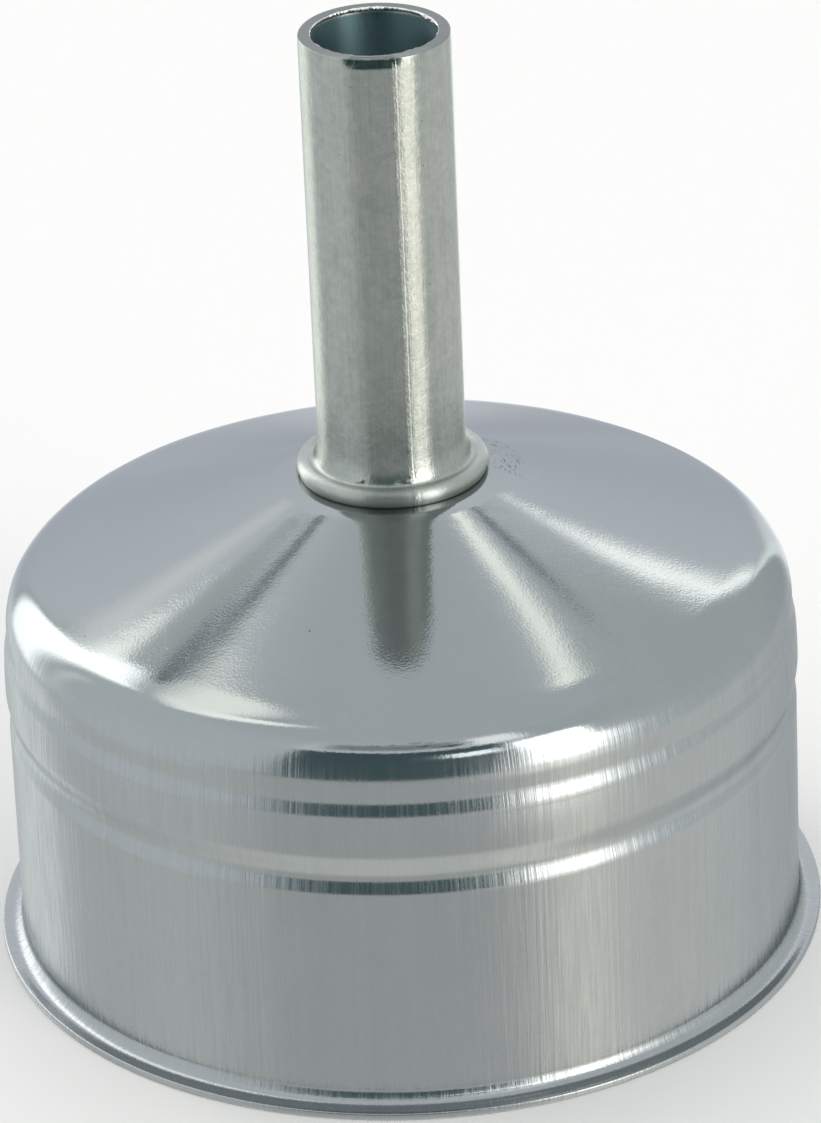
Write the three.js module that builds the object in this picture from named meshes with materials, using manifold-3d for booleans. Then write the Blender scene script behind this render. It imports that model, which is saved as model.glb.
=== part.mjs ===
// Funnel basket of a stovetop coffee pot, standing upside down on its rim with the stem up.
// Units are millimetres, +Z runs up along the stem, and the origin is the centre of the rim's
// underside. Three separate pieces: a drawn sheet cup, a stem tube swaged into the cup's hub,
// and a perforated disc snapped into the bead inside the cup. Nothing on it moves.

import * as THREE from 'three';
import { mergeVertices } from 'three/addons/utils/BufferGeometryUtils.js';
import Module from 'manifold-3d';

// ---- Cup: driving dimensions ----
const SHEET = 0.5;
const CUP_SEGMENTS = 72;
const RIM_RADIUS = 34.5;
const RIM_THICKNESS = 0.6;
const FOOT_WIDTH = 0.45;
const FLANGE_FILLET = 1.15;
const WALL_RADIUS_LOW = 32.72;
const WALL_RADIUS_HIGH = 32.54;
const WALL_TOP = 19.1;
const NECK_RADIUS = 32.2;
const NECK_HEIGHT = 20.7;
const BEAD_RADIUS = 32.64;
const BEAD_LOW = 22.9;
const BEAD_HIGH = 25.9;
const BEAD_FALL = 0.12;
const SHOULDER_RADIUS = 32.2;
const SHOULDER_BASE = 27.6;
const SHOULDER_ARC = 4.7;
const SHOULDER_CENTRE_HEIGHT = 28.4;
const SHOULDER_SLOPE = 23;
const CROWN_RADIUS = 27.6;
const CONE_SLOPE = 20.1;
const HUB_HEIGHT = 40.36;
const HUB_RADIUS = 8.6;
const HUB_BLEND = 0.7;
const HUB_ROUNDING = 0.06;
const HOLE_RADIUS = 6.25;

// ---- Stem tube ----
const TUBE_SEGMENTS = 36;
const TUBE_RADIUS = 6;
const BORE_RADIUS = 5;
const TUBE_TOP = 78;
const EDGE_BREAK = 0.12;
const SEAT_GAP = 0.1;
const COLLAR_CENTRE_RADIUS = 7.08;
const COLLAR_ROUND = 0.67;
const COLLAR_FOOT_RADIUS = 7.55;
const COLLAR_CREASE = 6.57;
const COLLAR_NECK = 6.16;
const COLLAR_NECK_HEIGHT = 42.3;
const COLLAR_TOP = 43.7;
const LIP_RADIUS = 7.4;
const LIP_THICKNESS = 0.7;
const LIP_FLARE_RADIUS = 6.1;
const LIP_FLARE_HEIGHT = 1.5;

// ---- Perforated disc ----
const DISC_RADIUS = 31.95;
const DISC_TOP = 25.7;
const DISC_THICKNESS = 0.5;
const DISC_TURN_HEIGHT = 1.6;
const DISC_CORNER = 0.5;
const PERFORATION_RINGS = 6;
const PERFORATION_PITCH = 4.6;
const PERFORATION_RADIUS = 0.8;
const PERFORATION_SIDES = 6;

const radians = (degrees) => THREE.MathUtils.degToRad(degrees);

const STEEL = { color: 0xb4b8b8, metalness: 1.0, roughness: 0.3 };

function steelMesh(name, geometry, finish = {}) {
  const mesh = new THREE.Mesh(geometry, new THREE.MeshStandardMaterial({ ...STEEL, ...finish }));
  mesh.name = name;
  return mesh;
}

// Points [radius, height] along an arc, from one angle to another, both ends included.
function arc(centreRadius, centreHeight, size, fromDegrees, toDegrees, steps) {
  const points = [];
  for (let i = 0; i <= steps; i += 1) {
    const angle = radians(fromDegrees + ((toDegrees - fromDegrees) * i) / steps);
    points.push([centreRadius + size * Math.cos(angle), centreHeight + size * Math.sin(angle)]);
  }
  return points;
}

// A closed profile turned about Z.
function turned(profile, segments) {
  const points = profile.map(([radius, height]) => new THREE.Vector2(radius, height));
  points.push(points[0].clone());
  return new THREE.LatheGeometry(points, segments).rotateX(Math.PI / 2);
}

// The other face of a sheet: each point moved by the thickness along its mitred normal.
function sheetBack(path, thickness) {
  return path.map((point, i) => {
    const here = new THREE.Vector2(...point);
    const before = new THREE.Vector2(...path[Math.max(i - 1, 0)]);
    const after = new THREE.Vector2(...path[Math.min(i + 1, path.length - 1)]);
    const normals = [];
    if (i > 0) {
      const step = here.clone().sub(before).normalize();
      normals.push(new THREE.Vector2(-step.y, step.x));
    }
    if (i < path.length - 1) {
      const step = after.clone().sub(here).normalize();
      normals.push(new THREE.Vector2(-step.y, step.x));
    }
    const miter = normals.reduce((sum, normal) => sum.add(normal), new THREE.Vector2()).normalize();
    const moved = here.addScaledVector(miter, thickness / miter.dot(normals[0]));
    return [moved.x, moved.y];
  });
}

// Height of the conical top at a radius: straight inside the crown, then easing into the shoulder.
function coneHeight(radius) {
  const end = radians(SHOULDER_SLOPE);
  const endRadius = SHOULDER_RADIUS - SHOULDER_ARC + SHOULDER_ARC * Math.sin(end);
  const endHeight = SHOULDER_CENTRE_HEIGHT + SHOULDER_ARC * Math.cos(end);
  const slope = Math.tan(radians(CONE_SLOPE));
  const crown = endRadius - CROWN_RADIUS;
  const steepening = (Math.tan(end) - slope) / (2 * crown);
  const past = Math.max(radius - CROWN_RADIUS, 0);
  return endHeight + (endRadius - radius) * slope + steepening * (crown * crown - past * past);
}

// The cup's outer face, from the rim's edge up to the hole in the hub.
function cupOuterPath() {
  const wallStart = RIM_THICKNESS + FLANGE_FILLET;
  const flange = [
    [RIM_RADIUS, RIM_THICKNESS],
    ...arc(WALL_RADIUS_LOW + FLANGE_FILLET, wallStart, FLANGE_FILLET, 270, 180, 3),
  ];
  const bead = [
    [WALL_RADIUS_HIGH, WALL_TOP],
    [NECK_RADIUS, NECK_HEIGHT],
    [BEAD_RADIUS, BEAD_LOW],
    [BEAD_RADIUS - BEAD_FALL, BEAD_HIGH],
    [SHOULDER_RADIUS, SHOULDER_BASE],
  ];
  const shoulder = arc(SHOULDER_RADIUS - SHOULDER_ARC, SHOULDER_CENTRE_HEIGHT, SHOULDER_ARC,
    0, 90 - SHOULDER_SLOPE, 6);
  const shoulderTop = shoulder[shoulder.length - 1][0];
  const coneRadii = [(shoulderTop + CROWN_RADIUS) / 2, CROWN_RADIUS, HUB_RADIUS + HUB_BLEND];
  const cone = coneRadii.map((radius) => [radius, coneHeight(radius)]);
  const hub = [
    [HUB_RADIUS, HUB_HEIGHT - HUB_ROUNDING],
    [HUB_RADIUS - HUB_BLEND, HUB_HEIGHT],
    [HOLE_RADIUS, HUB_HEIGHT],
  ];
  return [...flange, ...bead, ...shoulder, ...cone, ...hub];
}

function makeCup() {
  const outer = cupOuterPath();
  const inner = sheetBack(outer, SHEET).slice(1).reverse();
  const foot = [[RIM_RADIUS - FOOT_WIDTH, 0], [RIM_RADIUS, 0]];
  return steelMesh('funnel_cup', turned([...outer, ...inner, ...foot], CUP_SEGMENTS));
}

// Turned tube: lip under the hub, rolled collar on top of it, and the plain cut end.
function makeStem() {
  const lipTop = HUB_HEIGHT - SHEET - SEAT_GAP;
  const lipBottom = lipTop - LIP_THICKNESS;
  const collarBottom = HUB_HEIGHT + SEAT_GAP;
  const collarCentre = collarBottom + COLLAR_ROUND;
  const outer = [
    [LIP_RADIUS, lipBottom],
    [LIP_RADIUS, lipTop],
    [TUBE_RADIUS, lipTop],
    [TUBE_RADIUS, collarBottom],
    [COLLAR_FOOT_RADIUS, collarBottom],
    ...arc(COLLAR_CENTRE_RADIUS, collarCentre, COLLAR_ROUND, -36, 120, 6),
    [COLLAR_CREASE, collarCentre + COLLAR_ROUND],
    [COLLAR_NECK, COLLAR_NECK_HEIGHT],
    [TUBE_RADIUS, COLLAR_TOP],
    [TUBE_RADIUS, TUBE_TOP - EDGE_BREAK],
    [TUBE_RADIUS - EDGE_BREAK, TUBE_TOP],
  ];
  const inner = [
    [BORE_RADIUS + EDGE_BREAK, TUBE_TOP],
    [BORE_RADIUS, TUBE_TOP - EDGE_BREAK],
    [BORE_RADIUS, lipBottom + LIP_FLARE_HEIGHT],
    [LIP_FLARE_RADIUS, lipBottom],
  ];
  return steelMesh('stem_tube', turned([...outer, ...inner], TUBE_SEGMENTS));
}

function asManifold(wasm, geometry) {
  const bare = geometry.clone();
  bare.deleteAttribute('normal');
  bare.deleteAttribute('uv');
  const merged = mergeVertices(bare, 1e-4);
  return new wasm.Manifold(new wasm.Mesh({
    numProp: 3,
    vertProperties: new Float32Array(merged.getAttribute('position').array),
    triVerts: new Uint32Array(merged.getIndex().array),
  }));
}

function asGeometry(manifold) {
  const mesh = manifold.getMesh();
  const geometry = new THREE.BufferGeometry();
  geometry.setAttribute('position', new THREE.BufferAttribute(mesh.vertProperties, mesh.numProp));
  geometry.setIndex(new THREE.BufferAttribute(mesh.triVerts, 1));
  geometry.computeVertexNormals();
  return geometry;
}

function polygon(PathClass, x, y, radius, sides) {
  const path = new PathClass();
  for (let i = 0; i < sides; i += 1) {
    const angle = (2 * Math.PI * i) / sides;
    const place = [x + radius * Math.cos(angle), y + radius * Math.sin(angle)];
    if (i === 0) {
      path.moveTo(...place);
    } else {
      path.lineTo(...place);
    }
  }
  path.closePath();
  return path;
}

// Centres of the perforations: one in the middle, then rings of 6, 12, 18 and so on.
function perforationCentres() {
  const centres = [[0, 0]];
  for (let ring = 1; ring <= PERFORATION_RINGS; ring += 1) {
    const count = 6 * ring;
    for (let i = 0; i < count; i += 1) {
      const angle = (2 * Math.PI * i) / count;
      const radius = ring * PERFORATION_PITCH;
      centres.push([radius * Math.cos(angle), radius * Math.sin(angle)]);
    }
  }
  return centres;
}

function makeDisc(wasm) {
  const plate = polygon(THREE.Shape, 0, 0, DISC_RADIUS - DISC_CORNER, CUP_SEGMENTS);
  plate.holes = perforationCentres().map(
    ([x, y]) => polygon(THREE.Path, x, y, PERFORATION_RADIUS, PERFORATION_SIDES),
  );
  const bottom = DISC_TOP - DISC_THICKNESS;
  const plateBody = new THREE.ExtrudeGeometry(plate, { depth: DISC_THICKNESS, bevelEnabled: false });
  plateBody.translate(0, 0, bottom);
  const turnedEdge = turned([
    [DISC_RADIUS, DISC_TOP - DISC_TURN_HEIGHT],
    [DISC_RADIUS, DISC_TOP - DISC_CORNER],
    [DISC_RADIUS - DISC_CORNER, DISC_TOP],
    [DISC_RADIUS - 2 * DISC_CORNER, DISC_TOP],
    [DISC_RADIUS - 2 * DISC_CORNER, bottom],
    [DISC_RADIUS - DISC_CORNER, bottom],
    [DISC_RADIUS - DISC_CORNER, DISC_TOP - DISC_TURN_HEIGHT],
  ], CUP_SEGMENTS);
  const whole = asManifold(wasm, plateBody).add(asManifold(wasm, turnedEdge));
  return steelMesh('filter_disc', asGeometry(whole), { roughness: 0.4 });
}

const wasm = await Module();
wasm.setup();

const funnel = new THREE.Group();
funnel.add(makeCup());
funnel.add(makeStem());
funnel.add(makeDisc(wasm));

export default funnel;
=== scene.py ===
"""Looks of a stovetop coffee pot funnel, standing on its rim with the stem up.

Lengths in the constants are in millimetres and become metres when a mesh is made. Angles round the
axis are in degrees from -Y, the side that faces the camera, towards +X.
"""

import math

import bmesh
import bpy
import numpy as np
from mathutils import Matrix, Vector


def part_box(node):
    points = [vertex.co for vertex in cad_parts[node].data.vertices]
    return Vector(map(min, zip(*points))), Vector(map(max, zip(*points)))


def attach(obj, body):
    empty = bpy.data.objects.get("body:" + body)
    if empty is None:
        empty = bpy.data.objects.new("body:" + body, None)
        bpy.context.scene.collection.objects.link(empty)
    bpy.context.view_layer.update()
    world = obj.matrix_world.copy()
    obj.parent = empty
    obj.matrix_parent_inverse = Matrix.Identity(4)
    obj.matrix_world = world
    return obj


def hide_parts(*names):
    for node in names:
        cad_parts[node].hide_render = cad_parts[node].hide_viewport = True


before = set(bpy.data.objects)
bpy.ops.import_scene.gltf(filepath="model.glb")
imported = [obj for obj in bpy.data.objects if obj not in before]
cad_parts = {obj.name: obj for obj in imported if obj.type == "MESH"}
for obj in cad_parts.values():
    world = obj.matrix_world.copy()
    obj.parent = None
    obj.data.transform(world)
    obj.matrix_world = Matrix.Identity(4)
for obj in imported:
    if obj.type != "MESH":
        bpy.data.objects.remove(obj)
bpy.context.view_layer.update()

MM = 0.001

# The cup's own measures, the larger ones taken from the imported model. Those of the outline began
# as results of the fit that the camera comes from, and were then corrected.
cup_low, cup_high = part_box("funnel_cup")
stem_low, stem_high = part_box("stem_tube")
disc_low, disc_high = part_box("filter_disc")
RIM_RADIUS = cup_high.x / MM
HUB_HEIGHT = cup_high.z / MM
STEM_TOP = stem_high.z / MM
LIP_BOTTOM = stem_low.z / MM
DISC_RADIUS = disc_high.x / MM
DISC_TOP = disc_high.z / MM
DISC_BOTTOM = disc_low.z / MM

SHEET = 0.5
RIM_THICKNESS = 0.6
RIM_ROUND = 0.14
FOOT_WIDTH = 0.45
FLANGE_FILLET = 1.15
WALL_RADIUS_LOW = 32.72
WALL_RADIUS_HIGH = 32.54
NECK_RADIUS = 32.2
NECK_SPAN = (19.1, 20.7)
NECK_RISE = (20.7, 22.9)
BEAD_RADIUS = 32.64
BEAD_FALL = 0.12
BEAD_SPAN = (22.9, 25.9)
SHOULDER_RADIUS = 32.2
SHOULDER_BASE = 27.6
SHOULDER_ARC = 4.7
SHOULDER_CENTRE_HEIGHT = 28.4
SHOULDER_SLOPE = math.radians(23)
CROWN_RADIUS = 27.6
CONE_SLOPE = math.radians(20.1)
HUB_RADIUS = 8.6
HUB_BLEND = 1.0
HOLE_RADIUS = 6.25

# Unevenness of the drawn cup: waves round it, and a slight rise of the cone's foot at the front.
# A reach, a rise and a turn are each (start, end) of a fade.
RIPPLES = (4, 7, 11, 17, 26, 37)
RIPPLE_SIZE = 0.12
RIPPLE_SEED = 4
RIPPLE_REACH = (22, 32)
RIPPLE_RISE = (0.5, 6)
FRONT_RISE = 0.05
FRONT_RISE_REACH = (20.5, 27.5)
FRONT_RISE_HEIGHT = (24, 32)
FRONT_RISE_TURN = (10, 40)

TUBE_RADIUS = 6
BORE_RADIUS = 5
EDGE_BREAK = 0.12
COLLAR_CENTRE_RADIUS = 7.08
COLLAR_ROUND = 0.67
COLLAR_ARC = (-36, 122)
COLLAR_FOOT_RADIUS = 7.58
COLLAR_CREASE = 6.57
COLLAR_TOP = 43.7
SEAT_GAP = 0.03
LIP_RADIUS = 7.4
LIP_THICKNESS = 0.7
LIP_ROUND = 0.2
LIP_FLARE_RADIUS = 6.1
LIP_FLARE_HEIGHT = 1.5

# The sawn end is drawn in towards its top, more at one side, cut askew, and has burrs on its bore.
# The collar is torn at two places, each (turn, half width) in degrees.
TAPER_HEIGHT = 0.9
TAPER_DEPTH = 0.22
TAPER_TURN = -3
TAPER_HALF = 24
TAPER_FADE = 10
TAPER_ELSEWHERE = 0.15
CUT_SKEW = 0.12
BURR_DEPTH = 1.3
BURR_LIFT = 0.3
BURR_ELSEWHERE = 0.1
BURR_SEED = 11
BURR_TEETH = (46, 150)
TEAR_HEIGHT = 41.95
TEAR_SPREAD = 0.13
TEAR_DEPTH = 0.35
TEAR_SEED = 23
TEAR_TEETH = (40, 120)
TEARS = ((-27, 6), (8, 7))

DISC_THICKNESS = 0.5
DISC_CORNER = 0.5
DISC_BEVEL = 0.06
DISC_FILLET = 0.25
PERFORATION_RINGS = 6
PERFORATION_PITCH = 4.6
PERFORATION_RADIUS = 0.8
PERFORATION_SIDES = 20

CUP_SEGMENTS = 480
TUBE_SEGMENTS = 360
DISC_SEGMENTS = 240


# ---------------------------------------------------------------- outlines

def arc(centre_radius, centre_height, size, start, end, steps):
    """Points (radius, height) along an arc, between two angles in degrees."""
    angles = np.radians(np.linspace(start, end, steps + 1))
    return np.stack([centre_radius + size * np.cos(angles), centre_height + size * np.sin(angles)], 1)


def line(start, end, steps):
    """Points from start to end, both included."""
    share = np.linspace(0, 1, steps + 1)[:, None]
    return np.asarray(start, float) * (1 - share) + np.asarray(end, float) * share


def bend(start, corner, end, steps):
    """A quadratic curve that leaves start towards corner and arrives at end from it."""
    share = np.linspace(0, 1, steps + 1)[:, None]
    start, corner, end = (np.asarray(p, float) for p in (start, corner, end))
    return start * (1 - share) ** 2 + corner * 2 * share * (1 - share) + end * share ** 2


def chain(*runs):
    """Joins runs of points, leaving out a point that repeats the one before it."""
    points = np.concatenate(runs)
    step = np.linalg.norm(np.diff(points, axis=0), axis=1)
    return points[np.concatenate([[True], step > 1e-6])]


def ease(x, start, end):
    """0 before start, 1 after end, with a smooth rise between them."""
    share = np.clip((x - start) / (end - start), 0, 1)
    return share * share * (3 - 2 * share)


def sheet_back(path, thickness):
    """The other face of a sheet: each point moved by the thickness along its normal."""
    along = np.gradient(path, axis=0)
    along /= np.linalg.norm(along, axis=1)[:, None]
    return path + thickness * np.stack([-along[:, 1], along[:, 0]], 1)


def cone_height(radius):
    """Height of the conical top: straight inside the crown, then easing into the shoulder."""
    foot_radius = SHOULDER_RADIUS - SHOULDER_ARC + SHOULDER_ARC * math.sin(SHOULDER_SLOPE)
    foot_height = SHOULDER_CENTRE_HEIGHT + SHOULDER_ARC * math.cos(SHOULDER_SLOPE)
    crown = foot_radius - CROWN_RADIUS
    steepening = (math.tan(SHOULDER_SLOPE) - math.tan(CONE_SLOPE)) / (2 * crown)
    past = np.maximum(radius - CROWN_RADIUS, 0)
    straight = foot_height + (foot_radius - radius) * math.tan(CONE_SLOPE)
    return straight + steepening * (crown ** 2 - past ** 2)


def wall_radius(z):
    """Outer radius of the wall with its neck and bead, at a height."""
    wall_start = RIM_THICKNESS + FLANGE_FILLET
    share = np.clip((z - wall_start) / (NECK_SPAN[0] - wall_start), 0, 1)
    radius = WALL_RADIUS_LOW + (WALL_RADIUS_HIGH - WALL_RADIUS_LOW) * share
    radius += (NECK_RADIUS - WALL_RADIUS_HIGH) * ease(z, *NECK_SPAN)
    radius += (BEAD_RADIUS - NECK_RADIUS) * ease(z, *NECK_RISE)
    up_bead = np.clip((z - BEAD_SPAN[0]) / (BEAD_SPAN[1] - BEAD_SPAN[0]), 0, 1)
    radius -= BEAD_FALL * up_bead ** 2
    return radius + (SHOULDER_RADIUS - BEAD_RADIUS + BEAD_FALL) * ease(z, BEAD_SPAN[1], SHOULDER_BASE)


def cup_outer():
    """The cup's outer face, from the rim's edge up to the hole in the hub."""
    wall_start = RIM_THICKNESS + FLANGE_FILLET
    edge = arc(RIM_RADIUS - RIM_ROUND, RIM_THICKNESS - RIM_ROUND, RIM_ROUND, 0, 90, 5)
    fillet = arc(WALL_RADIUS_LOW + FLANGE_FILLET, wall_start, FLANGE_FILLET, 270, 180, 20)
    flange = line(edge[-1], fillet[0], 3)
    heights = np.concatenate([
        np.linspace(wall_start, NECK_SPAN[0], 30),
        np.linspace(NECK_SPAN[0], NECK_RISE[1], 34)[1:],
        np.linspace(NECK_RISE[1], BEAD_SPAN[1], 16)[1:],
        np.linspace(BEAD_SPAN[1], SHOULDER_CENTRE_HEIGHT, 26)[1:],
    ])
    wall = np.stack([wall_radius(heights), heights], 1)
    shoulder = arc(SHOULDER_RADIUS - SHOULDER_ARC, SHOULDER_CENTRE_HEIGHT, SHOULDER_ARC,
                   0, 90 - math.degrees(SHOULDER_SLOPE), 30)
    blend_radius = HUB_RADIUS + HUB_BLEND
    radii = np.linspace(shoulder[-1][0], blend_radius, 66)
    cone = np.stack([radii, cone_height(radii)], 1)
    hub = bend(cone[-1], (HUB_RADIUS, HUB_HEIGHT), (HUB_RADIUS - HUB_BLEND, HUB_HEIGHT), 16)
    land = line(hub[-1], (HOLE_RADIUS, HUB_HEIGHT), 3)
    return chain(edge, flange, fillet, wall, shoulder, cone, hub, land)


def stem_outline():
    """The stem's closed section: lip under the hub, rolled collar on it, tube, cut end and bore."""
    collar_bottom = HUB_HEIGHT + SEAT_GAP
    collar_centre = collar_bottom + COLLAR_ROUND
    lip_top = LIP_BOTTOM + LIP_THICKNESS
    lip = chain(
        line((LIP_FLARE_RADIUS, LIP_BOTTOM), (LIP_RADIUS - LIP_ROUND, LIP_BOTTOM), 3),
        arc(LIP_RADIUS - LIP_ROUND, LIP_BOTTOM + LIP_ROUND, LIP_ROUND, -90, 0, 4),
        line((LIP_RADIUS, LIP_BOTTOM + LIP_ROUND), (LIP_RADIUS, lip_top), 2),
        line((LIP_RADIUS, lip_top), (TUBE_RADIUS, lip_top), 3),
        line((TUBE_RADIUS, lip_top), (TUBE_RADIUS, collar_bottom), 2),
        line((TUBE_RADIUS, collar_bottom), (COLLAR_FOOT_RADIUS, collar_bottom), 3),
    )
    collar = arc(COLLAR_CENTRE_RADIUS, collar_centre, COLLAR_ROUND, *COLLAR_ARC, 24)
    crease = (COLLAR_CREASE, collar[-1][1] + 0.02)
    fillet = bend(crease, (TUBE_RADIUS + 0.08, crease[1] + 0.1), (TUBE_RADIUS, COLLAR_TOP), 30)
    shank = line(fillet[-1], (TUBE_RADIUS, STEM_TOP - 2 * TAPER_HEIGHT), 30)
    end = line(shank[-1], (TUBE_RADIUS, STEM_TOP - EDGE_BREAK), 30)
    cut = chain(
        arc(TUBE_RADIUS - EDGE_BREAK, STEM_TOP - EDGE_BREAK, EDGE_BREAK, 0, 90, 4),
        line((TUBE_RADIUS - EDGE_BREAK, STEM_TOP), (BORE_RADIUS + EDGE_BREAK, STEM_TOP), 5),
        arc(BORE_RADIUS + EDGE_BREAK, STEM_TOP - EDGE_BREAK, EDGE_BREAK, 90, 180, 4),
    )
    bore_top = STEM_TOP - 3 * EDGE_BREAK
    bore = chain(
        line(cut[-1], (BORE_RADIUS, bore_top), 5),
        line((BORE_RADIUS, bore_top), (BORE_RADIUS, LIP_BOTTOM + LIP_FLARE_HEIGHT), 30),
    )
    flare = bend(bore[-1], (BORE_RADIUS, LIP_BOTTOM + 0.4), (LIP_FLARE_RADIUS, LIP_BOTTOM), 8)
    return chain(lip, collar, fillet, shank, end, cut, bore, flare)[:-1]


# ---------------------------------------------------------------- meshes

def turned(name, outline, segments, shape=None):
    """A closed outline turned about Z. shape(x, y, z) may move the points, all in millimetres."""
    angle = np.linspace(0, 2 * np.pi, segments, endpoint=False)
    radius, height = outline[:, 0], outline[:, 1]
    x = np.outer(np.cos(angle), radius)
    y = np.outer(np.sin(angle), radius)
    z = np.outer(np.ones(segments), height)
    if shape:
        x, y, z = shape(x, y, z)
    points = np.stack([x, y, z], 2).reshape(-1, 3) * MM
    count = len(outline)
    across = np.arange(count)
    onward = np.roll(across, -1)
    faces = []
    for i in range(segments):
        here, after = i * count, ((i + 1) % segments) * count
        quads = np.stack([here + across, after + across, after + onward, here + onward], 1)
        faces.append(quads)
    mesh = bpy.data.meshes.new(name)
    mesh.from_pydata(points.tolist(), [], np.concatenate(faces).tolist())
    mesh.polygons.foreach_set("use_smooth", [True] * len(mesh.polygons))
    mesh.update()
    piece = bpy.data.objects.new(name, mesh)
    bpy.context.scene.collection.objects.link(piece)
    return piece


def ripple(x, y, z):
    """The slight unevenness of a drawn cup: its wall and shoulder are a few hundredths off true."""
    angle = np.arctan2(y, x)
    radius = np.hypot(x, y)
    phases = np.random.default_rng(RIPPLE_SEED).uniform(0, 2 * np.pi, len(RIPPLES))
    push = sum(np.cos(k * angle + phase) / k for k, phase in zip(RIPPLES, phases))
    share = RIPPLE_SIZE * push * ease(radius, *RIPPLE_REACH) * ease(z, *RIPPLE_RISE) / radius
    from_front = np.degrees(np.abs(np.arctan2(x, -y)))
    on_cone = ease(z, *FRONT_RISE_HEIGHT) * (1 - ease(from_front, *FRONT_RISE_TURN))
    z = z + FRONT_RISE * ease(radius, *FRONT_RISE_REACH) * on_cone
    return x * (1 + share), y * (1 + share), z


def make_cup():
    """The sheet cup. Its inner face has every second point of the outer one, from past the rim."""
    outer = cup_outer()
    inner = sheet_back(outer, SHEET)[6::2][::-1]
    foot = chain(
        line((RIM_RADIUS - FOOT_WIDTH, 0), (RIM_RADIUS - RIM_ROUND, 0), 2),
        arc(RIM_RADIUS - RIM_ROUND, RIM_ROUND, RIM_ROUND, -90, 0, 4),
    )
    last = sheet_back(outer, SHEET)[-1:]
    return turned("funnel_cup_sheet", chain(outer, last, inner, foot), CUP_SEGMENTS, ripple)


def ragged(turn, seed, teeth):
    """A jagged run of values from 0 to 1 round the axis, of coarse and fine teeth."""
    rng = np.random.default_rng(seed)
    total = 0
    for count, size in zip(teeth, (0.6, 0.4)):
        total = total + np.interp(turn, np.linspace(-180, 180, count + 1), rng.uniform(0, size, count + 1))
    return total


def cut_end(x, y, z):
    """The sawn end of the tube: drawn in a little at one side, cut askew, with burrs on the bore."""
    radius = np.hypot(x, y)
    turn = np.degrees(np.arctan2(x, -y))
    near_top = ease(z, STEM_TOP - TAPER_HEIGHT, STEM_TOP + 0.1)
    window = 1 - ease(np.abs(turn - TAPER_TURN), TAPER_HALF - TAPER_FADE, TAPER_HALF)
    outside = radius > (TUBE_RADIUS + BORE_RADIUS) / 2
    inward = TAPER_DEPTH * near_top * (TAPER_ELSEWHERE + (1 - TAPER_ELSEWHERE) * window) * outside
    on_edge = (radius < BORE_RADIUS + EDGE_BREAK) & (z > STEM_TOP - 2 * EDGE_BREAK)
    beside = ease(turn, 100, 112) * (1 - ease(turn, 132, 142))
    behind = ease(turn, 170, 178) + ease(-turn, 142, 152)
    flaky = np.clip(np.maximum(beside, behind), 0, 1)
    burr = BURR_DEPTH * ragged(turn, BURR_SEED, BURR_TEETH) ** 2 * (BURR_ELSEWHERE + flaky) * on_edge
    share = (inward + burr) / radius
    z = z + CUT_SKEW * (y / TUBE_RADIUS) * ease(z, STEM_TOP - 2 * TAPER_HEIGHT, STEM_TOP)
    return x * (1 - share), y * (1 - share), z + BURR_LIFT * burr


def collar_tears(x, y, z):
    """Two small tears where the collar was rolled, at the crease above its bead."""
    radius = np.hypot(x, y)
    turn = np.degrees(np.arctan2(x, -y))
    at_crease = np.exp(-((z - TEAR_HEIGHT) / TEAR_SPREAD) ** 2) * (radius > TUBE_RADIUS - 0.2)
    rough = ragged(turn, TEAR_SEED, TEAR_TEETH) - 0.4
    torn = sum(np.exp(-((turn - place) / half) ** 2) for place, half in TEARS)
    share = TEAR_DEPTH * rough * torn * at_crease / radius
    return x * (1 + share), y * (1 + share), z


def shape_stem(x, y, z):
    """All that happens to the tube's turned shape."""
    return collar_tears(*cut_end(x, y, z))


def make_stem():
    """The stem tube with its collar and lip."""
    return turned("stem_tube_metal", stem_outline(), TUBE_SEGMENTS, shape_stem)


def circle_spline(curve, x, y, radius, points):
    """Adds a closed circle of straight sides to a curve, in millimetres."""
    spline = curve.splines.new("POLY")
    spline.points.add(points - 1)
    for i in range(points):
        angle = 2 * math.pi * i / points
        place = (x + radius * math.cos(angle), y + radius * math.sin(angle), 0)
        spline.points[i].co = (*(c * MM for c in place), 1)
    spline.use_cyclic_u = True


def perforation_centres():
    """One hole in the middle, then rings of 6, 12, 18 and so on."""
    centres = [(0, 0)]
    for ring in range(1, PERFORATION_RINGS + 1):
        for i in range(6 * ring):
            angle = 2 * math.pi * i / (6 * ring)
            radius = ring * PERFORATION_PITCH
            centres.append((radius * math.cos(angle), radius * math.sin(angle)))
    return centres


def make_disc_plate():
    """The flat perforated part, as a filled curve turned into a mesh."""
    curve = bpy.data.curves.new("filter_plate_outline", "CURVE")
    curve.dimensions = "2D"
    curve.fill_mode = "BOTH"
    curve.extrude = (DISC_THICKNESS / 2 - DISC_BEVEL) * MM
    curve.bevel_depth = DISC_BEVEL * MM
    curve.bevel_resolution = 1
    circle_spline(curve, 0, 0, DISC_RADIUS - DISC_CORNER - DISC_BEVEL, DISC_SEGMENTS)
    for x, y in perforation_centres():
        circle_spline(curve, x, y, PERFORATION_RADIUS, PERFORATION_SIDES)
    shaped = bpy.data.objects.new("filter_plate_outline", curve)
    bpy.context.scene.collection.objects.link(shaped)
    bpy.context.view_layer.update()
    evaluated = shaped.evaluated_get(bpy.context.evaluated_depsgraph_get())
    mesh = bpy.data.meshes.new_from_object(evaluated)
    bpy.data.objects.remove(shaped)
    bpy.data.curves.remove(curve)
    mesh.transform(Matrix.Translation((0, 0, (DISC_TOP - DISC_THICKNESS / 2) * MM)))
    piece = bpy.data.objects.new("filter_disc_plate", mesh)
    bpy.context.scene.collection.objects.link(piece)
    return piece


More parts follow.
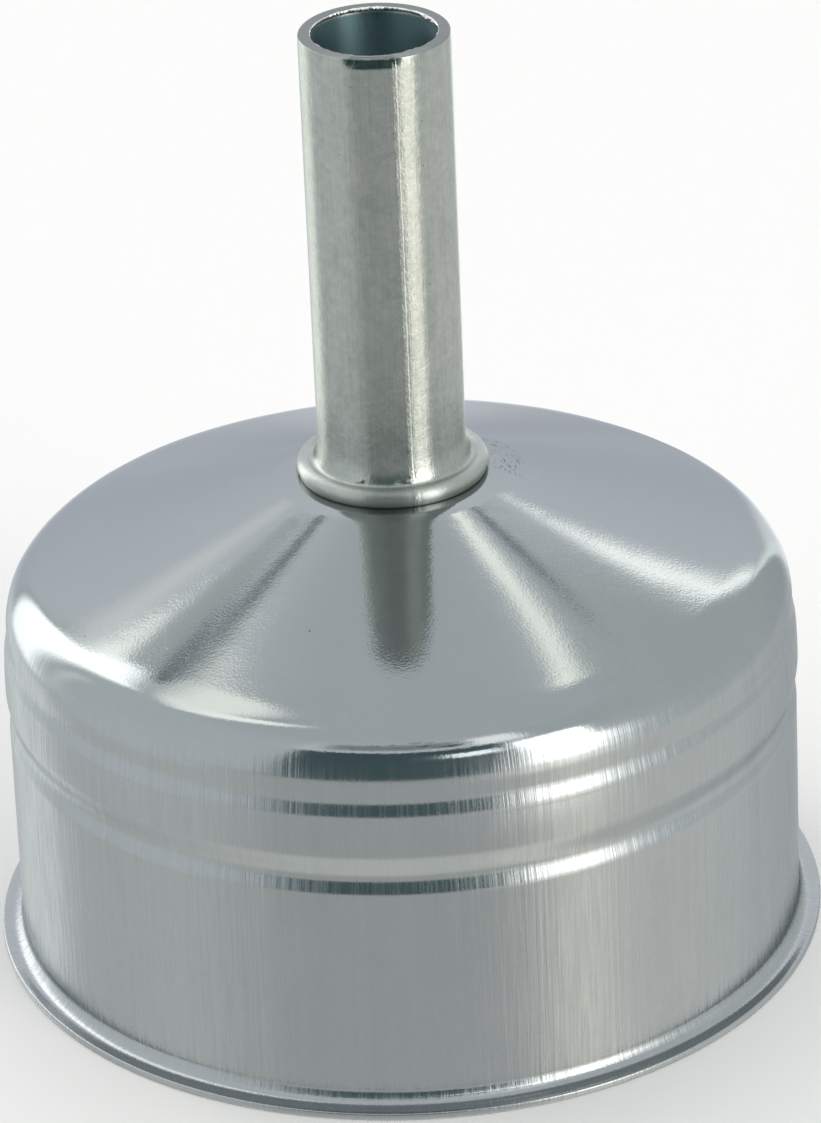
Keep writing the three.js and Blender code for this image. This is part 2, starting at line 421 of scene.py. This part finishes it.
def make_disc_edge():
    """The disc's turned edge, which snaps into the bead."""
    outer = DISC_RADIUS
    middle = DISC_RADIUS - DISC_CORNER
    inmost = middle - DISC_CORNER / 2
    under = DISC_TOP - DISC_THICKNESS
    outline = chain(
        line((middle, DISC_BOTTOM), (outer, DISC_BOTTOM), 2),
        line((outer, DISC_BOTTOM), (outer, DISC_TOP - DISC_CORNER), 3),
        arc(middle, DISC_TOP - DISC_CORNER, DISC_CORNER, 0, 90, 8),
        line((middle, DISC_TOP), (inmost, DISC_TOP), 1),
        line((inmost, DISC_TOP), (inmost, under), 1),
        bend((inmost, under), (middle, under), (middle, under - DISC_FILLET), 5),
        line((middle, under - DISC_FILLET), (middle, DISC_BOTTOM), 3),
    )[:-1]
    return turned("filter_disc_edge", outline, DISC_SEGMENTS)


# ---------------------------------------------------------------- materials

class Nodes:
    """Short calls for building a node tree."""

    def __init__(self, tree):
        self.tree = tree

    def add(self, kind, **settings):
        node = self.tree.nodes.new(kind)
        for name, value in settings.items():
            setattr(node, name, value)
        return node

    def link(self, source, target):
        self.tree.links.new(source, target)

    def put(self, node, **values):
        """Sets or links a node's inputs by name, with underscores for spaces."""
        for name, value in values.items():
            socket = node.inputs[name.replace("_", " ")]
            if isinstance(value, bpy.types.NodeSocket):
                self.link(value, socket)
            else:
                socket.default_value = value
        return node

    def math(self, operation, a, b=None, clamp=False):
        """One Math node. a and b are sockets or numbers."""
        node = self.add("ShaderNodeMath", operation=operation, use_clamp=clamp)
        for i, value in enumerate((a, b)):
            if isinstance(value, bpy.types.NodeSocket):
                self.link(value, node.inputs[i])
            elif value is not None:
                node.inputs[i].default_value = value
        return node.outputs[0]

    def plus(self, a, b):
        return self.math("ADD", a, b)

    def times(self, a, b):
        return self.math("MULTIPLY", a, b)

    def step(self, value, start, end, low=0.0, high=1.0):
        """A smooth change from low to high as the value goes from start to end."""
        node = self.add("ShaderNodeMapRange")
        node.interpolation_type = "SMOOTHSTEP"
        self.link(value, node.inputs["Value"])
        node.inputs["From Min"].default_value = start
        node.inputs["From Max"].default_value = end
        node.inputs["To Min"].default_value = low
        node.inputs["To Max"].default_value = high
        return node.outputs["Result"]

    def noise(self, vector, scale, detail=2.0, roughness=0.5):
        node = self.add("ShaderNodeTexNoise")
        self.put(node, Vector=vector, Scale=scale, Detail=detail, Roughness=roughness)
        return node.outputs["Fac"]

    def colour(self, factor, stops):
        """A colour ramp from (place, (r, g, b)) stops."""
        node = self.add("ShaderNodeValToRGB")
        ramp = node.color_ramp
        while len(ramp.elements) < len(stops):
            ramp.elements.new(0.5)
        for element, (place, value) in zip(ramp.elements, stops):
            element.position = place
            element.color = (*value, 1)
        self.link(factor, node.inputs["Fac"])
        return node.outputs["Color"]

    def mix(self, factor, colour, shade):
        """The colour moved towards a fixed shade where the factor is 1."""
        node = self.add("ShaderNodeMix", data_type="RGBA")
        self.link(factor, node.inputs["Factor"])
        self.link(colour, node.inputs[6])
        node.inputs[7].default_value = (*shade, 1)
        return node.outputs[2]

    def bump(self, height, distance, normal=None):
        """Surface detail of a height in metres, on top of the detail that normal holds."""
        node = self.add("ShaderNodeBump")
        self.put(node, Height=height, Distance=distance, Strength=1.0)
        if normal is not None:
            self.link(normal, node.inputs["Normal"])
        return node.outputs["Normal"]


def new_material(name):
    """A metal with its node helper and its shader."""
    material = bpy.data.materials.new(name)
    material.use_nodes = True
    nodes = Nodes(material.node_tree)
    shader = material.node_tree.nodes["Principled BSDF"]
    shader.inputs["Metallic"].default_value = 1.0
    return material, nodes, shader


# Upright lines are drawn as if the surface lay at this radius, so that they stay upright.
LINE_RADIUS = 30.0


class Place:
    """Where a shaded point lies on the turned shape, in millimetres and degrees."""

    def __init__(self, nodes):
        self.nodes = nodes
        scaled = nodes.add("ShaderNodeVectorMath", operation="SCALE")
        nodes.put(scaled, Scale=1 / MM)
        nodes.link(nodes.add("ShaderNodeTexCoord").outputs["Object"], scaled.inputs[0])
        split = nodes.add("ShaderNodeSeparateXYZ")
        nodes.link(scaled.outputs[0], split.inputs[0])
        self.point = scaled.outputs[0]
        self.x, self.y, self.z = split.outputs
        squares = nodes.plus(nodes.times(self.x, self.x), nodes.times(self.y, self.y))
        self.radius = nodes.math("SQRT", squares)
        turn = nodes.math("ARCTAN2", self.x, nodes.times(self.y, -1))
        self.turn = nodes.times(turn, 180 / math.pi)

    def drawn(self, along):
        """Coordinates at full scale round the axis and at a fraction up it, for upright lines."""
        nodes = self.nodes
        join = nodes.add("ShaderNodeCombineXYZ")
        scale = nodes.math("DIVIDE", LINE_RADIUS, nodes.math("MAXIMUM", self.radius, 1.0))
        nodes.link(nodes.times(self.x, scale), join.inputs[0])
        nodes.link(nodes.times(self.y, scale), join.inputs[1])
        nodes.link(nodes.times(self.z, along), join.inputs[2])
        return join.outputs[0]

    def rolled(self, around, lean=0.0):
        """Coordinates at a fraction round the axis, for marks that run round it; lean tips them."""
        nodes = self.nodes
        join = nodes.add("ShaderNodeCombineXYZ")
        nodes.link(nodes.times(self.turn, around), join.inputs[0])
        nodes.link(nodes.plus(self.radius, nodes.times(self.turn, lean)), join.inputs[1])
        nodes.link(self.z, join.inputs[2])
        return join.outputs[0]

    def near(self, value, centre, half, soft):
        """1 where a value is within half of a centre, fading to 0 over soft."""
        away = self.nodes.math("ABSOLUTE", self.nodes.math("SUBTRACT", value, centre))
        return self.nodes.step(away, half + soft, half)


def circular_grain(nodes, shader, strength, rotation=0.0):
    """Stretches reflections round the axis, or up it at a quarter turn."""
    tangent = nodes.add("ShaderNodeTangent", direction_type="RADIAL", axis="Z")
    nodes.link(tangent.outputs[0], shader.inputs["Tangent"])
    nodes.put(shader, Anisotropic=strength, Anisotropic_Rotation=rotation)


def specks(nodes, point, scale, size, share):
    """Small round spots: 1 on a spot and 0 elsewhere. Only a share of the cells holds one."""
    cells = nodes.add("ShaderNodeTexVoronoi")
    nodes.put(cells, Vector=point, Scale=scale)
    spot = nodes.step(cells.outputs["Distance"], size * scale, 0.5 * size * scale)
    pick = nodes.add("ShaderNodeSeparateColor")
    nodes.link(cells.outputs["Color"], pick.inputs[0])
    return nodes.times(spot, nodes.math("LESS_THAN", pick.outputs[0], share))


# Noises as (features per millimetre, detail, roughness), and depths of surface detail in metres.
CUP_NOISE = {
    "fine": (6.0, 3.0, 0.6),
    "broad": (0.35, 2.0, 0.5),
    "cloud": (0.12, 3.0, 0.6),
    "combed": (1.7, 3.0, 0.65),
    "mottle": (1.4, 3.0, 0.6),
    "waves": (0.35, 2.0, 0.5),
    "grain": (4.6, 2.0, 0.55),
    "hatch": (2.2, 2.0, 0.6),
    "soiling": (5.0, 3.0, 0.65),
}
CUP_DEPTH = {"fine": 0.000008, "combed": 0.000034, "hatch": 0.000012, "waves": 0.0000065, "grain": 0.0000037}
CUP_DARK = (0.357, 0.380, 0.377)
CUP_LIGHT = (0.412, 0.426, 0.434)
# Colour of the soiling, also used for the painted shade ring round the collar's foot.
CUP_SOIL_AND_SHADE = (0.12, 0.125, 0.12)
CUP_TINT = (0.62, 0.64, 0.66, 1)
CUP_GRAIN_STRENGTH = 0.75
WALL_LINES_END = (32.0, 28.5)
WALL_ROUGHNESS = (0.18, 0.29)
CONE_ROUGHNESS = (0.035, 0.055)
HUB_WAVES_REACH = (14.0, 8.5)
HATCH_HEIGHT = (8.0, 2.5)
SPECK_HEIGHT = (30, 32)

TUBE_NOISE = {
    "fine": (1.2, 3.0, 0.6),
    "cloud": (0.45, 3.0, 0.6),
    "mottle": (1.6, 4.0, 0.65),
    "grain": (5.0, 3.0, 0.6),
}
TUBE_DEPTH = {"fine": 0.000006, "mottle": 0.000022, "speckle": 0.000012}
TUBE_DARK = (0.320, 0.345, 0.310)
TUBE_LIGHT = (0.44, 0.45, 0.425)
TUBE_PIT = (0.14, 0.15, 0.14)
TUBE_FACE = (0.16, 0.17, 0.17)
TUBE_BORE_SHADE = (0.18, 0.28, 0.295)
TUBE_BURR_GLINT = (0.85, 0.83, 0.78)
TUBE_COLLAR_PAINTED_LIGHT = (0.62, 0.64, 0.6)
# Painted reflection: a dark, patchy band at the front of the cut end.
TUBE_PAINTED_REFLECTION = (0.10, 0.13, 0.11)
TUBE_TINT = (0.78, 0.8, 0.79, 1)
TUBE_GRAIN_STRENGTH = 0.9
SEAM_TURN = 13.5
SEAM_HALF = 1.2
QUARTER_TURN = 0.25

DISC_NOISE = {"cloud": (0.3, 4.0, 0.6), "grain": (7.0, 3.0, 0.6)}
DISC_DARK = (0.42, 0.43, 0.43)
DISC_LIGHT = (0.52, 0.53, 0.52)
DISC_ROUGHNESS = (0.25, 0.2)
DISC_GRAIN_DEPTH = 0.000005


def cup_marks(nodes, place):
    """Soiling left from handling beside the collar and in a few specks, a darker streaky line on the
    front of the shoulder, and a painted shade: a dark ring where the collar's bead sits on the cup.
    """
    rolled = nodes.noise(place.rolled(0.05), *CUP_NOISE["soiling"])
    streak = nodes.step(rolled, 0.56, 0.66)
    beside = nodes.times(place.near(place.turn, 103, 16, 8), place.near(place.radius, 9.4, 0.9, 0.7))
    # Painted shade: a dark ring on the hub where the collar's bead sits on it.
    ring = nodes.times(place.near(place.radius, 7.6, 0.12, 0.25), 0.4)
    # A darker streaky line along the front of the shoulder.
    shoulder = nodes.times(place.near(place.turn, 1, 5, 5), place.near(place.z, 31.6, 0.16, 0.12))
    dots = nodes.times(specks(nodes, place.point, 0.11, 0.15, 0.5), nodes.step(place.z, *SPECK_HEIGHT))
    beside_and_shoulder = nodes.times(streak, nodes.math("MAXIMUM", beside, shoulder))
    return nodes.math("MAXIMUM", nodes.math("MAXIMUM", beside_and_shoulder, ring), dots, clamp=True)


def cup_steel():
    """Drawn stainless sheet: upright drawing lines on the wall, polished shoulder and cone."""
    material, nodes, shader = new_material("drawn_cup_steel")
    place = Place(nodes)
    on_wall = nodes.step(place.z, *WALL_LINES_END)
    near_hub = nodes.step(place.radius, *HUB_WAVES_REACH)
    on_base = nodes.step(place.z, *HATCH_HEIGHT)
    lines = place.drawn(0.03)
    fine = nodes.noise(lines, *CUP_NOISE["fine"])
    broad = nodes.noise(lines, *CUP_NOISE["broad"])
    cloud = nodes.noise(place.point, *CUP_NOISE["cloud"])
    combed = nodes.noise(place.drawn(0.02), *CUP_NOISE["combed"])
    mottle = nodes.noise(place.point, *CUP_NOISE["mottle"])
    waves = nodes.noise(place.point, *CUP_NOISE["waves"])
    grain = nodes.noise(place.point, *CUP_NOISE["grain"])
    hatch = nodes.noise(place.rolled(0.5, 0.25), *CUP_NOISE["hatch"])

    streaks = nodes.times(nodes.plus(broad, combed), 0.25)
    shade = nodes.plus(nodes.times(streaks, on_wall), nodes.times(cloud, 0.3))
    shade = nodes.plus(shade, nodes.times(nodes.plus(mottle, grain), 0.2))
    colour = nodes.colour(shade, [(0.35, CUP_DARK), (0.75, CUP_LIGHT)])
    nodes.put(shader, Base_Color=nodes.mix(cup_marks(nodes, place), colour, CUP_SOIL_AND_SHADE))

    smoothest, spread = CONE_ROUGHNESS
    mix = nodes.add("ShaderNodeMix", data_type="FLOAT")
    nodes.link(on_wall, mix.inputs[0])
    nodes.link(nodes.plus(smoothest, nodes.times(mottle, spread)), mix.inputs[2])
    nodes.link(nodes.step(fine, 0.35, 0.65, *WALL_ROUGHNESS), mix.inputs[3])
    nodes.put(shader, Roughness=mix.outputs[0], Specular_Tint=CUP_TINT)
    circular_grain(nodes, shader, CUP_GRAIN_STRENGTH)

    hills = nodes.times(waves, nodes.plus(1.0, nodes.times(near_hub, 3.0)))
    normal = nodes.bump(nodes.times(fine, on_wall), CUP_DEPTH["fine"])
    normal = nodes.bump(nodes.times(combed, on_wall), CUP_DEPTH["combed"], normal)
    normal = nodes.bump(nodes.times(hatch, on_base), CUP_DEPTH["hatch"], normal)
    normal = nodes.bump(hills, CUP_DEPTH["waves"], normal)
    nodes.put(shader, Normal=nodes.bump(grain, CUP_DEPTH["grain"], normal))
    return material


def tube_steel():
    """Stainless tube, satin along its length, with a burnished cut end and a dull collar; and painted
    shade in the bore, a painted glint on the burrs, a painted lighter collar and a painted dark
    reflection at the front of the end.
    """
    material, nodes, shader = new_material("stem_tube_steel")
    place = Place(nodes)
    fine = nodes.noise(place.drawn(0.12), *TUBE_NOISE["fine"])
    cloud = nodes.noise(place.point, *TUBE_NOISE["cloud"])
    mottle = nodes.noise(place.point, *TUBE_NOISE["mottle"])
    grain = nodes.noise(place.point, *TUBE_NOISE["grain"])

    pits = nodes.times(specks(nodes, place.point, 0.9, 0.1, 0.25), 0.7)
    on_face = nodes.times(nodes.step(place.z, STEM_TOP - 0.16, STEM_TOP - 0.06), 0.75)
    in_bore = nodes.times(nodes.step(place.radius, BORE_RADIUS + 0.12, BORE_RADIUS + 0.04),
                          nodes.step(place.z, STEM_TOP - 0.15, STEM_TOP - 0.5))
    on_burr = nodes.times(nodes.step(place.radius, BORE_RADIUS + 0.08, BORE_RADIUS),
                          nodes.step(place.z, STEM_TOP - 0.4, STEM_TOP - 0.25))
    on_collar = nodes.step(place.radius, TUBE_RADIUS + 0.25, TUBE_RADIUS + 0.6)
    on_outside = nodes.step(place.radius, BORE_RADIUS + 0.4, BORE_RADIUS + 0.6)
    drawn_in = nodes.times(place.near(place.turn, TAPER_TURN, TAPER_HALF - 8, 6), on_outside)
    at_end = nodes.times(nodes.step(place.z, STEM_TOP - 1.1, STEM_TOP - 0.7), drawn_in)
    # Painted reflection: dark patches at the front just below the cut end.
    painted_reflection = nodes.times(at_end, nodes.step(mottle, 0.3, 0.6, 0.25, 0.75))

    shade = nodes.plus(nodes.times(fine, 0.3), nodes.times(cloud, 0.3))
    shade = nodes.plus(shade, nodes.times(mottle, 0.4))
    colour = nodes.colour(shade, [(0.36, TUBE_DARK), (0.64, TUBE_LIGHT)])
    colour = nodes.mix(pits, colour, TUBE_PIT)
    colour = nodes.mix(on_face, colour, TUBE_FACE)
    # Painted shade: the inside of the bore is coloured a darker teal.
    colour = nodes.mix(in_bore, colour, TUBE_BORE_SHADE)
    # Painted highlight: the burrs are coloured near white, as a glint.
    colour = nodes.mix(on_burr, colour, TUBE_BURR_GLINT)
    # Painted light: the collar is coloured lighter than the tube, so that it looks brighter.
    colour = nodes.mix(nodes.times(on_collar, 0.25), colour, TUBE_COLLAR_PAINTED_LIGHT)
    nodes.put(shader, Base_Color=nodes.mix(painted_reflection, colour, TUBE_PAINTED_REFLECTION))

    dull = nodes.plus(0.17, nodes.times(grain, 0.12))
    satin = nodes.times(dull, nodes.step(at_end, 0.0, 1.0, 1.0, 0.35))
    satin = nodes.plus(satin, nodes.times(in_bore, 0.35))
    satin = nodes.plus(satin, nodes.times(on_collar, 0.16))
    nodes.put(shader, Roughness=satin, Specular_Tint=TUBE_TINT)
    circular_grain(nodes, shader, TUBE_GRAIN_STRENGTH, QUARTER_TURN)

    seam = place.near(place.turn, SEAM_TURN, SEAM_HALF, SEAM_HALF)
    speckle = nodes.times(grain, nodes.plus(1.0, nodes.times(seam, 2.0)))
    normal = nodes.bump(fine, TUBE_DEPTH["fine"])
    normal = nodes.bump(mottle, TUBE_DEPTH["mottle"], normal)
    nodes.put(shader, Normal=nodes.bump(speckle, TUBE_DEPTH["speckle"], normal))
    return material


def disc_steel():
    """Satin sheet of the perforated disc."""
    material, nodes, shader = new_material("filter_disc_steel")
    place = Place(nodes)
    cloud = nodes.noise(place.point, *DISC_NOISE["cloud"])
    grain = nodes.noise(place.point, *DISC_NOISE["grain"])
    smoothest, spread = DISC_ROUGHNESS
    nodes.put(shader, Base_Color=nodes.colour(cloud, [(0.2, DISC_DARK), (0.8, DISC_LIGHT)]))
    nodes.put(shader, Roughness=nodes.plus(smoothest, nodes.times(grain, spread)))
    nodes.put(shader, Normal=nodes.bump(grain, DISC_GRAIN_DEPTH))
    return material


def place_piece(piece, node, material):
    """The piece stands for a CAD node and moves with the one body."""
    piece.data.materials.clear()
    piece.data.materials.append(material)
    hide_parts(node)
    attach(piece, "root")


# ---------------------------------------------------------------- stage, light and camera

FLOOR_HALF = 3.0
FLOOR_COLOUR = (0.945, 0.912, 0.88, 1)
BACKDROP_RADIUS = 9.0
BACKDROP_GLOW = 0.9
# The camera's values are the result of a least-squares fit to the outline in the photograph, made
# with the rim's radius held at 35.0 mm and then scaled to 34.5 mm.
CAMERA_PLACE = (0.0, -0.3671, 0.2175)
CAMERA_PITCH = 0.4685
CAMERA_YAW = 0.003
CAMERA_ROLL = -0.0422
CAMERA_LENS = 161.2


def make_floor():
    """A matt pale floor. Steel doesn't mirror it: the light tent has its own table."""
    mesh = bpy.data.meshes.new("floor")
    corners = [(x * FLOOR_HALF, y * FLOOR_HALF, 0) for x, y in ((-1, -1), (1, -1), (1, 1), (-1, 1))]
    mesh.from_pydata(corners, [], [(0, 1, 2, 3)])
    floor = bpy.data.objects.new("floor", mesh)
    bpy.context.scene.collection.objects.link(floor)
    material = bpy.data.materials.new("floor_matt")
    material.use_nodes = True
    shader = material.node_tree.nodes["Principled BSDF"]
    shader.inputs["Base Color"].default_value = FLOOR_COLOUR
    shader.inputs["Roughness"].default_value = 0.9
    shader.inputs["Specular IOR Level"].default_value = 0.0
    floor.data.materials.append(material)
    floor.visible_glossy = False


def make_backdrop():
    """A plain white surround that only the camera sees, past the floor's end."""
    mesh = bpy.data.meshes.new("backdrop")
    shape = bmesh.new()
    bmesh.ops.create_uvsphere(shape, u_segments=48, v_segments=24, radius=BACKDROP_RADIUS)
    shape.to_mesh(mesh)
    shape.free()
    backdrop = bpy.data.objects.new("backdrop", mesh)
    bpy.context.scene.collection.objects.link(backdrop)
    material = bpy.data.materials.new("backdrop_white")
    material.use_nodes = True
    shader = material.node_tree.nodes["Principled BSDF"]
    shader.inputs["Base Color"].default_value = (0, 0, 0, 1)
    shader.inputs["Emission Color"].default_value = (1, 1, 1, 1)
    shader.inputs["Emission Strength"].default_value = BACKDROP_GLOW
    mesh.materials.append(material)
    for ray in ("diffuse", "glossy", "transmission", "volume_scatter", "shadow"):
        setattr(backdrop, "visible_" + ray, False)


# The light tent round the object, as patches painted over one another on an even white surround.
# This is not a plain soft studio light. The places of the patches were read off a map that
# sorted the photograph's brightness by the direction each point of the steel reflects, and their
# shades were adjusted until the render's brightness came near the photograph's.
# "turn" runs round from -Y towards +X and "up" from the horizon, both as (start, end) in degrees;
# "soft" is how far its turn and up edges fade, and "far_soft" is for the turn edge that ends it;
# "bow" bends an upright patch away from -Y by that many degrees for each squared degree from the
# height "bow_from".
TENT_BASE = (1.10, 1.13, 1.21)
TENT = [
    {"what": "left_wall", "turn": (-149.5, -38), "up": (-40, 62), "soft": (2.5, 4),
     "shade": (0.9, 0.96, 0.99)},
    {"what": "right_wall", "turn": (40, 150.5), "up": (-40, 62), "soft": (2, 4),
     "shade": (0.8, 0.86, 0.87)},
    {"what": "roof", "turn": (-180, 180), "up": (57, 90), "soft": (1, 9),
     "shade": (0.83, 0.88, 0.92)},
    {"what": "table", "turn": (-180, 180), "up": (-90, -22), "soft": (1, 6),
     "shade": (0.86, 0.88, 0.87)},
    {"what": "table_front", "turn": (-48, 42), "up": (-90, -7), "soft": (12, 2),
     "shade": (0.67, 0.69, 0.69)},
    {"what": "table_near", "turn": (-66, 60), "up": (-90, -42), "soft": (12, 8),
     "shade": (0.95, 0.96, 0.93)},
    {"what": "left_lamp", "turn": (-146.2, -123.5), "up": (-13, 47.5), "soft": (2, 2.5),
     "shade": (3, 3, 3), "far_soft": 4.5},
    {"what": "left_lamp_side", "turn": (-149.4, -146), "up": (36, 43.8), "soft": (0.8, 1.2),
     "shade": (2.3, 2.3, 2.2)},
    {"what": "left_lamp_edge", "turn": (-153.5, -146), "up": (34.5, 39), "soft": (1.4, 2),
     "shade": (1.4, 1.4, 1.4)},
    {"what": "left_gap", "turn": (-151.5, -146.6), "up": (43.8, 49), "soft": (0.6, 1),
     "shade": (0.82, 0.86, 0.88)},
    {"what": "left_lamp_foot", "turn": (-156, -122), "up": (-40, -14), "soft": (3, 8),
     "shade": (1.75, 1.78, 1.72)},
    {"what": "left_seam", "turn": (-115, -111), "up": (-8, 30), "soft": (2.5, 6),
     "shade": (1.35, 1.35, 1.33)},
    {"what": "left_roof", "turn": (-149, -104), "up": (53.8, 66), "soft": (1.6, 3),
     "shade": (1.9, 1.9, 1.8)},
    {"what": "left_rail", "turn": (-154, -148.4), "up": (51.2, 53.4), "soft": (0.7, 0.8),
     "shade": (0.27, 0.33, 0.35)},
    {"what": "left_rail_near", "turn": (-148.8, -143.6), "up": (48.6, 52), "soft": (0.7, 0.8),
     "shade": (0.28, 0.34, 0.36)},
    {"what": "far_right", "turn": (170, 200), "up": (-17, -5), "soft": (4, 5),
     "shade": (0.87, 0.89, 0.95)},
    {"what": "far_left", "turn": (-200, -173), "up": (-17, -1), "soft": (4, 4),
     "shade": (0.88, 0.9, 0.96)},
    {"what": "right_glow", "turn": (149.5, 158), "up": (-24, 7), "soft": (1, 8),
     "shade": (1.7, 1.72, 1.72), "far_soft": 4, "bow": 0.0095, "bow_from": 14},
    {"what": "right_lamp_foot", "turn": (147.8, 149.8), "up": (-24, 25), "soft": (0.8, 4),
     "shade": (2.3, 2.35, 2.3), "far_soft": 3, "bow": 0.0095, "bow_from": 14},
    {"what": "right_lamp", "turn": (150.8, 152.7), "up": (24, 38.5), "soft": (0.7, 2.2),
     "shade": (2.7, 2.7, 2.6), "far_soft": 1},
    {"what": "right_roof", "turn": (150.4, 156), "up": (54.6, 58), "soft": (1.2, 1.4),
     "shade": (2.2, 2.2, 2.05)},
    {"what": "right_roof_near", "turn": (146.8, 151), "up": (56.6, 60.6), "soft": (1.2, 1.4),
     "shade": (2.2, 2.2, 2.05)},
    {"what": "right_rail", "turn": (149.3, 153), "up": (49.3, 51.6), "soft": (0.6, 0.8),
     "shade": (0.3, 0.36, 0.38)},
    {"what": "right_table", "turn": (76, 152), "up": (-40, -14), "soft": (8, 6),
     "shade": (1.0, 1.02, 1.0)},
    {"what": "front_lamp", "turn": (34, 56), "up": (-12, 39), "soft": (2, 3),
     "shade": (4.6, 4.55, 4.4)},
    {"what": "front_lamp_wide", "turn": (50, 61), "up": (1, 17), "soft": (2, 4),
     "shade": (3.6, 3.58, 3.5)},
    {"what": "front_lamp_low", "turn": (34, 58), "up": (-24, -8), "soft": (2, 3),
     "shade": (2.4, 2.35, 2.2)},
    {"what": "front_lamp_top", "turn": (25, 42), "up": (45, 58), "soft": (3, 3),
     "shade": (1.9, 1.9, 1.9)},
    {"what": "front_lamp_foot", "turn": (40, 62), "up": (-90, -20), "soft": (5, 6),
     "shade": (1.4, 1.36, 1.24)},
    {"what": "opening", "turn": (-36, 32), "up": (-9, 44), "soft": (2, 1.5),
     "shade": (0.1, 0.16, 0.175)},
    {"what": "opening_glow", "turn": (14, 30), "up": (10, 27), "soft": (4, 5),
     "shade": (0.17, 0.22, 0.24)},
    {"what": "window", "turn": (12.5, 28), "up": (28, 35), "soft": (1.5, 1),
     "shade": (2.4, 2.5, 2.6)},
    {"what": "roof_front", "turn": (-28, 20), "up": (48, 58), "soft": (6, 3),
     "shade": (0.42, 0.47, 0.49)},
    {"what": "left_side_roof", "turn": (-119, -99), "up": (59, 74), "soft": (5, 5),
     "shade": (2.1, 2.12, 2.05)},
]


def inside_patch(nodes, turn, up, patch):
    """How much a direction lies in a patch, from 0 to 1."""
    soft_turn, soft_up = (math.radians(s) for s in patch["soft"])
    far_soft = math.radians(patch.get("far_soft", patch["soft"][0]))
    if "bow" in patch:
        from_waist = nodes.math("SUBTRACT", up, math.radians(patch["bow_from"]))
        bow = nodes.times(nodes.times(from_waist, from_waist), math.degrees(patch["bow"]))
        turn = nodes.math("SUBTRACT", turn, bow)
    share = None
    low_up, high_up = (math.radians(a) for a in patch["up"])
    edges = [(up, low_up, soft_up, 1), (up, high_up, soft_up, -1)]
    if patch["turn"] != (-180, 180):
        near, far = (math.radians(a) for a in patch["turn"])
        edges += [(turn, near, soft_turn, 1), (turn, far, far_soft, -1)]
    for value, edge, soft, side in edges:
        if abs(edge) == math.pi / 2:
            continue
        fade = nodes.step(value, edge - side * soft, edge + side * soft)
        share = fade if share is None else nodes.times(share, fade)
    return share


def make_world():
    """The light tent: soft white walls, lamps behind them and the camera's dark opening."""
    world = bpy.data.worlds.new("light_tent")
    world.use_nodes = True
    bpy.context.scene.world = world
    nodes = Nodes(world.node_tree)
    split = nodes.add("ShaderNodeSeparateXYZ")
    nodes.link(nodes.add("ShaderNodeTexCoord").outputs["Generated"], split.inputs[0])
    x, y, z = split.outputs
    turn = nodes.math("ARCTAN2", x, nodes.times(y, -1))
    up = nodes.math("ARCSINE", z)
    shade = None
    for patch in TENT:
        mix = nodes.add("ShaderNodeMix", data_type="RGBA")
        nodes.link(inside_patch(nodes, turn, up, patch), mix.inputs["Factor"])
        below = mix.inputs[6]
        if shade is None:
            below.default_value = (*TENT_BASE, 1)
        else:
            nodes.link(shade, below)
        mix.inputs[7].default_value = (*patch["shade"], 1)
        shade = mix.outputs[2]
    nodes.link(shade, world.node_tree.nodes["Background"].inputs["Color"])


def make_camera():
    """Looks down at the funnel from the front, slightly rolled."""
    data = bpy.data.cameras.new("camera")
    data.lens = CAMERA_LENS
    camera = bpy.data.objects.new("camera", data)
    bpy.context.scene.collection.objects.link(camera)
    aim = (Matrix.Rotation(-CAMERA_YAW, 4, "Z")
           @ Matrix.Rotation(math.pi / 2 - CAMERA_PITCH, 4, "X")
           @ Matrix.Rotation(CAMERA_ROLL, 4, "Z"))
    camera.matrix_world = Matrix.Translation(CAMERA_PLACE) @ aim
    bpy.context.scene.camera = camera


def main():
    """Makes the pieces, the stage and the light."""
    make_camera()
    place_piece(make_cup(), "funnel_cup", cup_steel())
    place_piece(make_stem(), "stem_tube", tube_steel())
    finish = disc_steel()
    place_piece(make_disc_plate(), "filter_disc", finish)
    place_piece(make_disc_edge(), "filter_disc", finish)
    make_floor()
    make_backdrop()
    make_world()
    bpy.context.scene.view_settings.view_transform = "Standard"


main()
